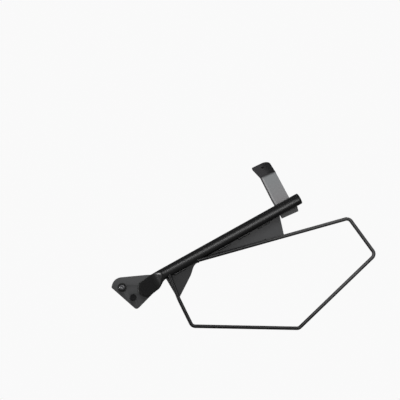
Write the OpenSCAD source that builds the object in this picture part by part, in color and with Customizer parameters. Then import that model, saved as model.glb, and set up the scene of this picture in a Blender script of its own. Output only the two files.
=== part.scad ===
// Left-hand side-bag frame of a motorbike: a tube from the footrest bolts up to the tail,
// a sheet gusset under it, a bent rod that the bag leans on, and a folded hanger strap.
// X points to the rear, Z up and +Y inward to the bike. The origin is the middle of the two
// front bolts, on the face of the front plate that lies against the bike.

/* [Main tube] */
// Outside diameter of the tube
tube_d = 25; // [20:0.5:30]
// Wall of the tube
tube_wall = 2; // [1.2:0.1:3]
// Climb of the tube to the rear, in degrees
tube_pitch = 29.1; // [15:0.1:40]
// How far the tube's axis passes below the middle of the bolts
tube_drop = 2.8; // [0:0.1:10]
// Where the open rear end of the tube is, measured along it from the bolts
tube_end = 428; // [424:1:520]

/* [Crushed end] */
// Where the round nose of the crushed end is, measured along the tube
nose_at = 23.4; // [20:0.1:30]
// Where the crushed end stops being flat
flat_until = 61; // [56:1:66]
// Where the tube is round again
round_from = 85; // [80:1:87]
// Thickness of the flat
flat_t = 5; // [4.4:0.1:6]
// How far the middle of the flat lies below the tube's axis where it starts
flat_sink = 6.3; // [4:0.1:8]
// How far it lies below the axis at the middle of the nose
flat_drop = 9.4; // [8:0.1:12]

/* [Front plate] */
// Thickness of the front plate
plate_t = 5; // [3:0.5:8]
// Distance between the two bolts
bolt_pitch = 32.4; // [30:0.1:38]
// Fall of the line through the bolts, in degrees
bolt_fall = 41.3; // [35:0.1:50]
// Radius of the plate round the upper bolt
plate_end_r = 22.3; // [18:0.1:26]
// Distance from the line through the bolts to the plate's lower left edge
plate_side = 15.6; // [12:0.1:20]
// Distance from the lower bolt to the plate's lower right edge
plate_foot = 24.4; // [18:0.1:30]
// Height of the plate's top edge above the middle of the bolts
plate_top = 38; // [36:0.5:44]
// How far the plate reaches behind the crushed tube, measured along the tube
plate_reach = 68; // [60:1:74]
// Radius of the plate's lower corner
plate_corner_r = 6.5; // [3:0.5:9]

/* [Bolts] */
// Diameter of the bolts
bolt_d = 8; // [8:1:10]
// Clearance of a bolt in its hole, on the radius
bolt_gap = 0.4; // [0.2:0.1:0.8]
// Length of a bolt that stands out of the back of the plate
bolt_reach = 20; // [12:1:35]
// Width of the hexagon head across its flats
hex_af = 13; // [13:0.5:16]
// Height of the hexagon head
hex_h = 5.3; // [4:0.1:7]
// Diameter of the washer under the socket screw
washer_d = 19; // [16:0.5:22]
// Thickness of that washer
washer_t = 1.6; // [1:0.1:2.5]
// Diameter of the domed head of the socket screw
dome_d = 14; // [13:0.5:16]
// Height of that head
dome_h = 4.4; // [3.6:0.1:5.5]
// Width of its hexagon socket across the flats
socket_af = 5; // [4:0.5:6]
// Depth of the socket
socket_deep = 2.8; // [2:0.1:3]

/* [Tube end plug] */
// Thickness of the plug's cap
cap_t = 3.6; // [2:0.1:6]
// Length of the plug's shank inside the tube
shank_len = 18; // [10:1:30]
// Clearance of the shank in the tube, on the radius
shank_gap = 0.2; // [0.1:0.05:0.5]
// Height of the shank's ribs
rib_h = 0.1; // [0.05:0.05:0.1]

/* [Bag rail] */
// Diameter of the rod
rod_d = 8; // [6:0.5:10]
// Radius of the bends, at the middle of the rod
bend_r = 11.5; // [9:0.5:16]
// Where the front leg meets the tube's axis, measured along the tube
leg_at = 98; // [95:0.5:104]
// Place of the slight bend in the front leg
kink_x = 111; // [104:0.5:118]
// Depth of that bend below the bolts
kink_drop = 15.5; // [8:0.5:22]
// Place of the front lower corner
low_front_x = 140; // [130:1:160]
// Depth of the front lower corner below the bolts
low_front_drop = 74; // [60:1:95]
// Place of the rear lower corner
low_rear_x = 375; // [340:1:400]
// Depth of the rear lower corner below the bolts
low_rear_drop = 78.5; // [60:0.5:95]
// Place of the rearmost corner
tip_x = 546; // [520:1:570]
// Height of the rearmost corner above the bolts
tip_rise = 84; // [70:1:95]
// Place of the rear top corner
top_rear_x = 487; // [470:1:500]
// Height of the rear top corner above the bolts
top_rear_rise = 164; // [156:1:172]
// Where the top run leaves the underside of the tube, measured along the tube
top_run_at = 175; // [165:1:185]
// How much of the top run lies against the tube before that
top_run_lap = 10; // [6:0.5:14]

/* [Gusset plate] */
// Thickness of the gusset
gusset_t = 4; // [3:0.5:6]
// How far the gusset starts ahead of the front leg
gusset_lead = 11; // [9:0.5:12]
// Depth of its front tip below the tube's axis
tip_depth = 65; // [50:1:70]
// Place of its shoulder behind the front leg
shoulder_run = 41; // [32:1:46]
// Depth of the shoulder below the tube's axis
shoulder_depth = 31; // [26:0.5:35]
// Radius of the hollow where it runs out along the top run
hollow_r = 28; // [16:1:34]
// Where its rear edge meets the tube
gusset_end = 374; // [330:1:376]
// How far the rear edge leans forward at its lower end
gusset_rake = 14; // [4:1:24]

/* [Hanger strap] */
// Thickness of the strap
strap_t = 5; // [3:0.5:8]
// Front edge of the strap at the tube, measured along the tube
strap_at = 376.5; // [376.5:0.5:380]
// Width of the strap
strap_w = 37.5; // [30:0.5:38]
// Height of the fold above the tube's axis
fold_rise = 75.6; // [60:0.2:100]
// Turn of the fold against the tube, in degrees
fold_skew = 4.9; // [0:0.1:8]
// How far the foot reaches below the tube's axis
foot_drop = 21.5; // [17:0.5:26]
// How much wider to the rear the foot is where it leaves the tube
foot_flare = 6.5; // [0:0.5:8]
// How far its rear edge leans back in below that
foot_cant = 3; // [0:0.5:5]
// Angle that the tab is folded by
fold_angle = 57; // [30:1:90]
// Inner radius of the fold
fold_r = 4; // [2:0.5:8]
// Length of the tab past the fold
tab_len = 46; // [36:1:60]
// Width that the tab gains at its front corner
tab_flare = 3; // [0:0.5:5]
// Width that it gains at its rear corner
tab_rear_flare = 2.4; // [0:0.1:5]
// How much longer the tab is at its rear edge
tab_slant = 2.4; // [0:0.1:4]
// Radius of the tab's rear corner
tab_corner_r = 15; // [6:1:16]
// Diameter of the hole for the rear bolt
tab_hole_d = 7; // [6.5:0.5:11]
// Distance from the fold to that hole
tab_hole_at = 29; // [20:1:30]

/* [Welds] */
// Radius of the weld beads
bead_r = 2.2; // [2:0.1:3]
// Length of one stitch of weld along the gusset
stitch_len = 26; // [16:1:34]
// Distance from stitch to stitch
stitch_pitch = 50; // [40:1:80]

/* [Hidden] */
$fn = 64;

steel_black = [0.16, 0.16, 0.17];
plate_black = [0.27, 0.27, 0.28];
strap_grey = [0.50, 0.51, 0.51];
plastic_black = [0.07, 0.07, 0.08];
bolt_bright = [0.62, 0.62, 0.64];
weld_dark = [0.12, 0.12, 0.13];

// More than enough length or depth for a cutter
far = 400;
// Stretches of one solid run this far into each other, and a bend is this much stouter, to fuse
lap = 0.05;
swell = 0.02;
// The crushed stretch ends this much inside the round tube
shy = 0.15;
tube_r = tube_d / 2;
bore_r = tube_r - tube_wall;
rod_r = rod_d / 2;
bolt_r = bolt_d / 2;
// The thread is drawn as a plain round, at the middle of its flanks
thread_r = bolt_r * 0.925;
hole_r = bolt_r + bolt_gap;

// Depths: the plate, the back of the tube and the strap share one plane
plate_front_y = -plate_t;
tube_y = plate_front_y - tube_r;
gusset_front_y = tube_y - gusset_t / 2;
rod_y = gusset_front_y - rod_r;

// Directions along the tube and square to it, in X and Z
along = [cos(tube_pitch), sin(tube_pitch)];
square_up = [-sin(tube_pitch), cos(tube_pitch)];
function on_tube(u, w) = u * along + (w - tube_drop) * square_up;
function unit(v) = v / norm(v);
function level_angle(v) = atan2(v[1], v[0]);

// The two bolts
bolt_dir = [cos(bolt_fall), -sin(bolt_fall)];
upper_bolt = -bolt_dir * bolt_pitch / 2;
lower_bolt = bolt_dir * bolt_pitch / 2;

// The crushed section keeps the tube's girth: half width from half thickness
function half_width(half_t) = half_t + (PI * tube_d - 2 * PI * half_t) / 4;
nose_r = half_width(flat_t / 2);
nose_centre = nose_at + nose_r;

// Corners of the rail at the middle of the rod, each [x, z]
kink = [kink_x, -kink_drop];
low_front = [low_front_x, -low_front_drop];
low_rear = [low_rear_x, -low_rear_drop];
rear_tip = [tip_x, tip_rise];
top_rear = [top_rear_x, top_rear_rise];
leg_top = on_tube(leg_at, 0);
top_leave = on_tube(top_run_at, -tube_r);
top_dir = unit(top_rear - top_leave);
top_start = top_leave - top_dir * top_run_lap;
leg_dir = unit(leg_top - kink);
rail_path = [leg_top, kink, low_front, low_rear, rear_tip, top_rear, top_start];
kink_r = 4 * bend_r;
rail_bends = [0, kink_r, bend_r, bend_r, bend_r, bend_r, 0];

// Height over the tube's axis of the top run's middle line, at a distance along the tube
top_slope = (top_dir * square_up) / (top_dir * along);
function top_run_rise(u) = -tube_r + (u - top_run_at) * top_slope;

// Points of an outline whose corners are rounded: each corner is [x, y, radius]
function corner_arc(a, b, c) =
    let (
        p = [b[0], b[1]],
        d1 = unit([a[0], a[1]] - p),
        d2 = unit([c[0], c[1]] - p),
        half = acos(max(-1, min(1, d1 * d2))) / 2,
        r = b[2],
        back = r / tan(half),
        mid = p + unit(d1 + d2) * r / sin(half),
        from = p + d1 * back - mid,
        start = atan2(from[1], from[0]),
        turn = 180 - 2 * half,
        side = (d1[0] * d2[1] - d1[1] * d2[0]) > 0 ? -1 : 1,
        steps = max(1, ceil(turn / 9))
    )
    r == 0 ? [p] : [for (i = [0 : steps])
        mid + r * [cos(start + side * turn * i / steps), sin(start + side * turn * i / steps)]];

function rounded(corners) =
    let (n = len(corners))
    [for (i = [0 : n - 1])
        each corner_arc(corners[(i + n - 1) % n], corners[i], corners[(i + 1) % n])];

// Puts a flat drawing in X and Z, with its thickness running from y_from to y_to
module upright(y_from, y_to) {
    translate([0, y_to, 0])
        rotate([90, 0, 0])
            linear_extrude(height = y_to - y_from)
                children();
}

// Moves what is drawn along X, at the tube's axis, into the line of the tube
module in_tube_line() {
    rotate([0, -tube_pitch, 0])
        translate([0, tube_y, -tube_drop])
            children();
}

// A round bar along X
module bar_x(r, x_from, x_to) {
    translate([x_from, 0, 0])
        rotate([0, 90, 0])
            cylinder(r = r, h = x_to - x_from);
}

// A closed skin through rings of points, all rings with the same count
module loft(rings) {
    n = len(rings[0]);
    m = len(rings);
    sides = [for (k = [0 : m - 2]) for (i = [0 : n - 1]) each [
        [k * n + i, k * n + (i + 1) % n, (k + 1) * n + (i + 1) % n],
        [k * n + i, (k + 1) * n + (i + 1) % n, (k + 1) * n + i]
    ]];
    first = [for (i = [n - 1 : -1 : 0]) i];
    last = [for (i = [0 : n - 1]) (m - 1) * n + i];
    polyhedron(points = [for (ring = rings) each ring], faces = concat([first], sides, [last]));
}

// How far the tube is crushed at a distance along it: 0 is round and 1 is flat
function crush(u) =
    let (t = max(0, min(1, (round_from - u) / (round_from - flat_until))))
    t * t * (3 - 2 * t);

// How far the middle of the section lies below the tube's axis: the flat leans down to its nose
function sunk(u) =
    flat_sink * crush(u)
    + (flat_drop - flat_sink) * max(0, min(1, (flat_until - u) / (flat_until - nose_centre)));

// A point at a share of the girth of a bar with round edges, half width w and half thickness h
function girth_point(share, w, h) =
    let (
        quarter = PI * h / 2 + (w - h),
        q = floor(share * 4),
        part = share * 4 - q,
        s = (q % 2 == 0 ? part : 1 - part) * quarter,
        bend = s / h * 180 / PI,
        p = bend < 90 ? [w - h + h * cos(bend), h * sin(bend)] : [w - h - (s - PI * h / 2), h]
    )
    [(q == 0 || q == 3 ? 1 : -1) * p[0], (q < 2 ? 1 : -1) * p[1]];

// Half width of the flat's round nose at a distance along the tube
function nose_half(u) = u < nose_centre ? sqrt(nose_r ^ 2 - (nose_centre - u) ^ 2) : far;

// One ring of the crushed stretch
ring_points = 48;
function crush_ring(u) =
    let (
        c = crush(u),
        h = tube_r + (flat_t / 2 - tube_r) * c,
        w = min(half_width(h), nose_half(u)),
        draw_in = shy * (1 - c)
    )
    [for (i = [0 : ring_points - 1])
        let (g = girth_point(i / ring_points, w - draw_in, h - draw_in))
        [u, tube_r - h + g[1], g[0] - sunk(u)]];

// Stations round the nose, and from the flat to just inside the round tube
nose_turns = [12, 22, 34, 48, 65];
nose_stations = [for (a = nose_turns) nose_centre - nose_r * cos(a)];
ring_steps = 10;
crush_stations = [for (k = [0 : ring_steps]) flat_until + (round_from - flat_until) * k / ring_steps];
// The bore runs out in a cone where the crushing starts
bore_taper = (round_from - flat_until) * 0.38;

// The crushed end, solid
module crushed_end() {
    loft([for (u = concat(nose_stations, [nose_centre], crush_stations, [round_from + lap]))
        crush_ring(u)]);
}

// The outer shape of the round tube, which everything that meets it is cut by
module round_tube_cutter() {
    in_tube_line() bar_x(tube_r, round_from, tube_end);
}

module main_tube() {
    color(steel_black)
        in_tube_line()
            difference() {
                union() {
                    crushed_end();
                    bar_x(tube_r, round_from, tube_end);
                }
                translate([round_from, 0, 0])
                    rotate([0, 90, 0]) {
                        cylinder(r = bore_r, h = tube_end + tube_d - round_from);
                        translate([0, 0, -bore_taper])
                            cylinder(r1 = bore_r * 0.05, r2 = bore_r, h = bore_taper);
                    }
            }
}

// Plug: a cap with a rounded rim, and a ribbed shank inside the bore
module tube_end_plug() {
    rim_r = cap_t * 0.55;
    shank_r = bore_r - shank_gap;
    rib_t = 1.2;
    ribs = 3;
    color(plastic_black)
        in_tube_line()
            translate([tube_end, 0, 0])
                rotate([0, 90, 0])
                    rotate_extrude()
                        union() {
                            square([tube_r, cap_t - rim_r]);
                            square([tube_r - rim_r, cap_t]);
                            intersection() {
                                translate([tube_r - rim_r, cap_t - rim_r])
                                    circle(r = rim_r);
                                square([tube_r, cap_t]);
                            }
                            translate([0, -shank_len])
                                square([shank_r, shank_len]);
                            for (i = [1 : ribs])
                                translate([0, -shank_len * i / (ribs + 1) - rib_t / 2])
                                    square([shank_r + rib_h, rib_t]);
                        }
}

// Outline of the front plate: round over the upper bolt from one angle to the other, a crowned top
// edge, and two straight edges square to each other under the lower bolt
plate_side_dir = [-sin(bolt_fall), -cos(bolt_fall)];
end_from = 165;
end_to = 96;
end_mid = (end_from + end_to) / 2;
end_far = plate_end_r / cos((end_from - end_to) / 2);
end_corner = upper_bolt + end_far * [cos(end_mid), sin(end_mid)];
left_start = upper_bolt + plate_end_r * [cos(end_from), sin(end_from)];
left_dir = [-cos(end_from - 90), -sin(end_from - 90)];
left_reach = (plate_side - (left_start - upper_bolt) * plate_side_dir) / (left_dir * plate_side_dir);
left_tip = left_start + left_dir * left_reach;
low_corner = lower_bolt + bolt_dir * plate_foot + plate_side_dir * plate_side;
hidden_low = on_tube(plate_reach, -tube_r * 1.65);
hidden_top = on_tube(plate_reach, tube_r * 0.75);
crown = [hidden_top[0] * 0.7, plate_top];

module front_plate() {
    color(plate_black)
        difference() {
            upright(plate_front_y, 0)
                polygon(rounded([
                    concat(left_tip, [2.5]),
                    concat(end_corner, [plate_end_r]),
                    concat(crown, [40]),
                    concat(hidden_top, [4]),
                    concat(hidden_low, [8]),
                    concat(low_corner, [plate_corner_r])
                ]));
            for (bolt = [upper_bolt, lower_bolt])
                translate([bolt[0], far / 2, bolt[1]])
                    rotate([90, 0, 0])
                        cylinder(r = hole_r, h = far);
        }
}

// Places a bolt, drawn with its shank along +Z and its head below, in the plate
module at_bolt(bolt, seat_y) {
    translate([bolt[0], seat_y, bolt[1]])
        rotate([-90, 0, 0])
            children();
}

// A plain stretch from the head to the back of the plate, then the thread
module bolt_shank(plain) {
    cylinder(r = bolt_r, h = plain);
    cylinder(r = thread_r, h = plain + bolt_reach);
}

module socket_screw() {
    flat_r = dome_d * 0.28;
    dome_curve = ((dome_d / 2 - flat_r) ^ 2 + dome_h ^ 2) / (2 * dome_h);
    color(bolt_bright)
        at_bolt(upper_bolt, plate_front_y - washer_t)
            difference() {
                union() {
                    bolt_shank(washer_t + plate_t);
                    rotate([180, 0, 0])
                        rotate_extrude()
                            intersection() {
                                square([dome_d / 2, dome_h]);
                                union() {
                                    square([flat_r, dome_h]);
                                    translate([flat_r, dome_h - dome_curve])
                                        circle(r = dome_curve);
                                }
                            }
                }
                translate([0, 0, -dome_h - 1])
                    cylinder(d = socket_af / cos(30), h = socket_deep + 1, $fn = 6);
            }
}

module screw_washer() {
    color(plastic_black)
        at_bolt(upper_bolt, plate_front_y - washer_t)
            difference() {
                cylinder(d = washer_d, h = washer_t);
                translate([0, 0, -1])
                    cylinder(r = hole_r, h = washer_t + 2);
            }
}

module hex_bolt() {
    chamfer_r = hex_af * 0.475;
    color(steel_black)
        at_bolt(lower_bolt, plate_front_y)
            union() {
                bolt_shank(plate_t);
                intersection() {
                    translate([0, 0, -hex_h])
                        rotate([0, 0, 12])
                            cylinder(d = hex_af / cos(30), h = hex_h, $fn = 6);
                    translate([0, 0, -hex_h])
                        cylinder(r1 = chamfer_r, r2 = chamfer_r + hex_h * 1.8, h = hex_h);
                }
            }
}

// Gusset corners in the tube's line, [along, rise, radius]
gusset_front = leg_at - gusset_lead;
leg_rise_dir = [(leg_dir * along), (leg_dir * square_up)];
tip_along = leg_at - tip_depth * leg_rise_dir[0] / leg_rise_dir[1];
hollow_drop = 2;
shoulder = [leg_at + shoulder_run, -shoulder_depth];
hollow_lead = 15;
hollow = [top_run_at - hollow_lead, top_run_rise(top_run_at - hollow_lead) - hollow_drop];
rear_low_at = gusset_end - gusset_rake;
in_tube = tube_r * 0.4;

module gusset_plate() {
    corners = [
        [gusset_front, -in_tube, 0],
        [tip_along - 1, -tip_depth, 3],
        concat(shoulder, [40]),
        concat(hollow, [hollow_r]),
        [rear_low_at, top_run_rise(rear_low_at) - hollow_drop, 2],
        [gusset_end, -in_tube, 0]
    ];
    color(plate_black)
        difference() {
            in_tube_line()
                upright(-gusset_t / 2, gusset_t / 2)
                    polygon(rounded(corners));
            round_tube_cutter();
        }
}

// A rod bent through a list of corners in a flat plane, [x, y], with a radius for each bend
module bent_rod(path, bends, r) {
    n = len(path);
    function half_turn(i) = acos(unit(path[i - 1] - path[i]) * unit(path[i + 1] - path[i])) / 2;
    function back(i) = bends[i] == 0 ? 0 : bends[i] / tan(half_turn(i));
    for (i = [0 : n - 2]) {
        dir = unit(path[i + 1] - path[i]);
        start = path[i] + dir * back(i);
        stop = path[i + 1] - dir * back(i + 1);
        translate([start[0], start[1], 0])
            rotate([0, 90, level_angle(dir)])
                translate([0, 0, -lap])
                    cylinder(r = r, h = norm(stop - start) + 2 * lap);
    }
    for (i = [1 : n - 2]) {
        d1 = unit(path[i - 1] - path[i]);
        d2 = unit(path[i + 1] - path[i]);
        left = (d1[0] * d2[1] - d1[1] * d2[0]) < 0;
        mid = path[i] + unit(d1 + d2) * bends[i] / sin(half_turn(i));
        from = path[i] + (left ? d1 : d2) * back(i) - mid;
        translate([mid[0], mid[1], 0])
            rotate([0, 0, level_angle(from)])
                rotate_extrude(angle = 180 - 2 * half_turn(i))
                    translate([bends[i], 0])
                        circle(r = r + swell);
    }
}

module bag_rail() {
    color(steel_black)
        difference() {
            translate([0, rod_y, 0])
                rotate([90, 0, 0])
                    bent_rod(rail_path, rail_bends, rod_r);
            round_tube_cutter();
        }
}

// The strap is drawn from its fold: a runs along the fold, b up in the strap's plane
fold_tilt = tube_pitch - fold_skew;
fold_start = on_tube(strap_at + 2, fold_rise + strap_w * sin(fold_skew) / 2);
strap_back = plate_front_y + strap_t;
function from_fold(p) =
    let (d = p - fold_start)
    [d[0] * cos(fold_tilt) + d[1] * sin(fold_tilt), d[1] * cos(fold_tilt) - d[0] * sin(fold_tilt)];
foot_front = from_fold(on_tube(strap_at + 1, -foot_drop + 1));
strap_rear = from_fold(on_tube(strap_at + strap_w, tube_r));
foot_rear = from_fold(on_tube(strap_at + strap_w + foot_flare, -tube_r));
foot_low_a = from_fold(on_tube(strap_at + strap_w + foot_flare - foot_cant, -foot_drop))[0];
fold_w = strap_w - 1;
waist = from_fold(on_tube(strap_at, tube_r * 2));

module in_fold_frame() {
    translate([fold_start[0], 0, fold_start[1]])
        rotate([0, -fold_tilt, 0])
            children();
}

// Places what is drawn in the tab's own plane, with y up the tab and z inward through it
module in_tab_frame() {
    in_fold_frame()
        translate([0, strap_back + fold_r, 0])
            rotate([-fold_angle, 0, 0])
                translate([0, -fold_r, 0])
                    rotate([90, 0, 0])
                        children();
}

module hanger_strap() {
    color(strap_grey)
        difference() {
            union() {
                in_fold_frame()
                    upright(plate_front_y, strap_back)
                        polygon([
                            [0, lap],
                            waist,
                            foot_front,
                            [foot_low_a, foot_front[1]],
                            foot_rear,
                            strap_rear,
                            [fold_w, lap]
                        ]);
                in_fold_frame()
                    translate([fold_w, strap_back + fold_r, 0])
                        rotate([90, 0, -90])
                            rotate_extrude(angle = fold_angle)
                                translate([fold_r - swell, -swell])
                                    square([strap_t + 2 * swell, fold_w + 2 * swell]);
                in_tab_frame()
                    linear_extrude(height = strap_t)
                        polygon(rounded([
                            [0, -lap, 0],
                            [fold_w, -lap, 0],
                            [fold_w + tab_rear_flare, tab_len + tab_slant, tab_corner_r],
                            [-tab_flare, tab_len, 3]
                        ]));
            }
            in_tab_frame()
                translate([fold_w / 2, tab_hole_at, -strap_t])
                    cylinder(d = tab_hole_d, h = strap_t * 3);
        }
}

// A weld bead along X with round ends
module bead(r, x_from, x_to) {
    bar_x(r, x_from, x_to);
    for (x = [x_from, x_to])
        translate([x, 0, 0])
            sphere(r = r);
}

// The beads' sizes, and how deep they sit in their corners
ring_bead_r = bead_r * 0.8;
strap_bead_r = bead_r * 1.15;
nose_seat = bead_r * 0.2;
stitch_out = bead_r * 0.4;
stitch_down = bead_r * 0.3;
strap_seat = bead_r * 0.55;
tack_seat = bead_r * 0.35;

// Weld round the nose of the crushed end, in the corner on the plate
module weld_crushed_end() {
    color(weld_dark)
        difference() {
            in_tube_line()
                translate([nose_centre, tube_r - nose_seat, -flat_drop])
                    rotate([90, 0, 0])
                        difference() {
                            rotate_extrude()
                                translate([nose_r, 0])
                                    circle(r = bead_r);
                            translate([0, 0, -far / 2])
                                cylinder(r = nose_r, h = far);
                            translate([-nose_r * 0.2, -far / 2, -far / 2])
                                cube([far, far, far]);
                        }
            translate([-far / 2, plate_front_y, -far / 2])
                cube([far, far, far]);
        }
}

// Stitches along the gusset, on one face of it; side is -1 for the outer face and 1 for the inner
module gusset_stitches(side, starts) {
    difference() {
        in_tube_line()
            for (u = starts)
                translate([0, side * (gusset_t / 2 + stitch_out), -tube_r - stitch_down])
                    bead(bead_r, u, u + stitch_len);
        round_tube_cutter();
        gusset_cutter();
    }
}

clear_of_run = top_run_at - (rod_r + 3 * bead_r) / top_slope;
stitch_last = gusset_end - stitch_len - 3 * bead_r;
outer_starts = concat([leg_at + rod_r + 3 * bead_r], [for (u = [clear_of_run : stitch_pitch : stitch_last]) u]);
inner_starts = [for (u = [leg_at : stitch_pitch : stitch_last]) u];

module weld_gusset_outer() {
    color(weld_dark) gusset_stitches(-1, outer_starts);
}

module weld_gusset_inner() {
    color(weld_dark) gusset_stitches(1, inner_starts);
}

// Bead in the groove between the tube and the strap; side is 1 above the tube and -1 below
module strap_bead(side) {
    groove = tube_r * 0.76;
    difference() {
        in_tube_line()
            translate([0, tube_r - strap_seat, side * groove])
                bead(strap_bead_r, strap_at + 3 * bead_r, strap_at + strap_w - 2 * bead_r);
        round_tube_cutter();
        translate([0, plate_front_y, -far])
            cube([2 * far, strap_t, 3 * far]);
    }
}

module weld_strap_upper() {
    color(weld_dark) strap_bead(1);
}

module weld_strap_lower() {
    color(weld_dark) strap_bead(-1);
}

// Ring of weld round a rod's end, at a point in X and Z, square to a direction
module rod_ring(p, dir) {
    translate([p[0], rod_y, p[1]])
        rotate([0, 90 - level_angle(dir), 0])
            rotate_extrude()
                translate([rod_r, 0])
                    circle(r = ring_bead_r);
}

module rod_cutter() {
    translate([0, rod_y, 0])
        rotate([90, 0, 0])
            bent_rod(rail_path, rail_bends, rod_r);
}

module gusset_cutter() {
    in_tube_line()
        translate([0, -gusset_t / 2, -far])
            cube([far + tube_end, gusset_t, 2 * far]);
}

module weld_front_leg() {
    meet = leg_top - leg_dir * tube_r;
    color(weld_dark)
        difference() {
            rod_ring(meet, leg_dir);
            round_tube_cutter();
            rod_cutter();
            gusset_cutter();
        }
}

module weld_top_run() {
    color(weld_dark)
        difference() {
            rod_ring(top_start + top_dir * bead_r, top_dir);
            round_tube_cutter();
            rod_cutter();
            gusset_cutter();
        }
}

// Small tacks in the groove between the rod and the gusset, to the left of the rod's direction
module tacks(points, dir) {
    across = [-dir[1], dir[0]];
    tack_off = rod_r * 0.85;
    difference() {
        for (p = points) {
            q = p + across * tack_off;
            translate([q[0], gusset_front_y - tack_seat, q[1]])
                rotate([90, 0, 0])
                    sphere(r = bead_r);
        }
        rod_cutter();
        gusset_cutter();
        round_tube_cutter();
    }
}

module tacks_front_leg() {
    run = tip_depth - tube_r;
    color(weld_dark)
        tacks([for (share = [0.174, 0.398]) leg_top - leg_dir * (tube_r + run * share)], leg_dir);
}

module tacks_top_run() {
    run = rear_low_at - top_run_at;
    color(weld_dark)
        tacks([for (share = [0.22, 0.5, 0.8]) top_leave + top_dir * run * share], top_dir);
}

main_tube();
tube_end_plug();
front_plate();
socket_screw();
screw_washer();
hex_bolt();
gusset_plate();
bag_rail();
hanger_strap();
weld_crushed_end();
weld_gusset_outer();
weld_gusset_inner();
weld_strap_upper();
weld_strap_lower();
weld_front_leg();
weld_top_run();
tacks_front_leg();
tacks_top_run();
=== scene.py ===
import math
import bpy
import numpy as np
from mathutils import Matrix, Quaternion, Vector
from mathutils.geometry import tessellate_polygon


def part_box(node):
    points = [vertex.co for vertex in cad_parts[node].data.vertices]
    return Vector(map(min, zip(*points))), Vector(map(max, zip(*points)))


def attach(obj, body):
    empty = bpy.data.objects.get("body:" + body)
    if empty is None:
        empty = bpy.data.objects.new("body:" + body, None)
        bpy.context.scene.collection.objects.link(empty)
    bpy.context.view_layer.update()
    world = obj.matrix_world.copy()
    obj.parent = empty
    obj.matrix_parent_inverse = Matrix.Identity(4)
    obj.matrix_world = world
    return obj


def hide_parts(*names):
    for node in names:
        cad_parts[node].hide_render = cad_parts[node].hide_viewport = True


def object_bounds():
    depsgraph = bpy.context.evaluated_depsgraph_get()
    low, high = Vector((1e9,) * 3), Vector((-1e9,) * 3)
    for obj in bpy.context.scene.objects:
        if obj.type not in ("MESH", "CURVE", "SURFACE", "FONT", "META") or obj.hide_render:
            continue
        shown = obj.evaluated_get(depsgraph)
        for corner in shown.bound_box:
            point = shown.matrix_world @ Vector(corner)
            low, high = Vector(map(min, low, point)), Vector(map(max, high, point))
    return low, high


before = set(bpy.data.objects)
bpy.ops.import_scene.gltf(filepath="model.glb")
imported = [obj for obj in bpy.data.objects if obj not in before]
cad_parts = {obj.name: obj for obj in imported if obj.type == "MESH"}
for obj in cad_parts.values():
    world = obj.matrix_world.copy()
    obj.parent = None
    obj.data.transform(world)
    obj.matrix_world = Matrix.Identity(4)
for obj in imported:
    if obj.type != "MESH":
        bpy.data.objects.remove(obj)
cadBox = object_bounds()
print("frame loaded:", len(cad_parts), "nodes")

mm = 0.001                      # every measure below is written in millimetres times this
fullTurn = 2 * math.pi


def turnAngles(count):
    return np.arange(count) / count * fullTurn


def flatWay(angle):
    # unit vectors in the plane of X and Z, at angles up from X
    return np.stack([np.cos(angle), np.sin(angle)], -1)


def leftOf(way):
    return np.array([-way[1], way[0]])


def inSpace(flat, y):
    # X and Z as three coordinates, with y as the depth
    return np.stack([flat[..., 0], np.broadcast_to(y, flat.shape[:-1]), flat[..., 1]], -1)


# Where the camera stands round the point it looks at: degrees, and metres
cameraView = {
    "azimuth": -6.0,
    "elevation": -3.5,
    "distance": 5.0,
    "target": (0.1596, 0.0, 0.2033),
    "millimetresPerPixel": 2.2,
    "imageWidth": 400,
    "sensor": 36.0,
    "clipEnd": 200.0,
}


def directionFrom(azimuth, elevation):
    # unit vector from the object toward azimuth and elevation: 0 is the outer side, 90 the rear
    a, e = math.radians(azimuth), math.radians(elevation)
    return Vector((math.sin(a) * math.cos(e), -math.cos(a) * math.cos(e), math.sin(e)))


def addCamera():
    camera = bpy.data.objects.new("camera", bpy.data.cameras.new("camera"))
    bpy.context.scene.collection.objects.link(camera)
    toCamera = directionFrom(cameraView["azimuth"], cameraView["elevation"])
    camera.location = Vector(cameraView["target"]) + toCamera * cameraView["distance"]
    camera.rotation_mode = "QUATERNION"
    camera.rotation_quaternion = (-toCamera).to_track_quat("-Z", "Y")
    seenWidth = cameraView["millimetresPerPixel"] * mm * cameraView["imageWidth"]
    camera.data.sensor_width = cameraView["sensor"]
    camera.data.lens = cameraView["sensor"] * cameraView["distance"] / seenWidth
    camera.data.clip_end = cameraView["clipEnd"]
    camera.data.dof.use_dof = False
    bpy.context.scene.camera = camera


# Main tube, whose line lies in the upright plane of X and Z
tube = {
    "pitch": math.radians(29.1),
    "drop": 2.8 * mm,
    "wall": 2.0 * mm,
    "end": 428 * mm,
    "noseAt": 23.4 * mm,
    "flatUntil": 61 * mm,
    "roundFrom": 85 * mm,
    "flatThick": 5 * mm,
    "flatSink": 6.3 * mm,
    "flatDrop": 9.4 * mm,
    "edgeRound": 0.5 * mm,
    "boreRows": (0 * mm, 20 * mm, 60 * mm),
    "ringPoints": 96,
    "noseRows": 26,
    "crushRows": 44,
    "straightRows": 30,
}
tubeLow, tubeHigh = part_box("main_tube")
tubeRadius = (tubeHigh.y - tubeLow.y) / 2
tubeY = (tubeHigh.y + tubeLow.y) / 2
plateFrontY = tubeHigh.y
alongTube = flatWay(tube["pitch"])
squareToTube = leftOf(alongTube)


def onTube(u, w):
    # X and Z of a point u along the tube and w above its axis
    u, w = np.asarray(u, float), np.asarray(w, float)
    return u[..., None] * alongTube + (w - tube["drop"])[..., None] * squareToTube


def inTubeLine(u, y, w):
    return inSpace(onTube(u, w), y)


# Meshes
sharpAngle = math.radians(32)


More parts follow.
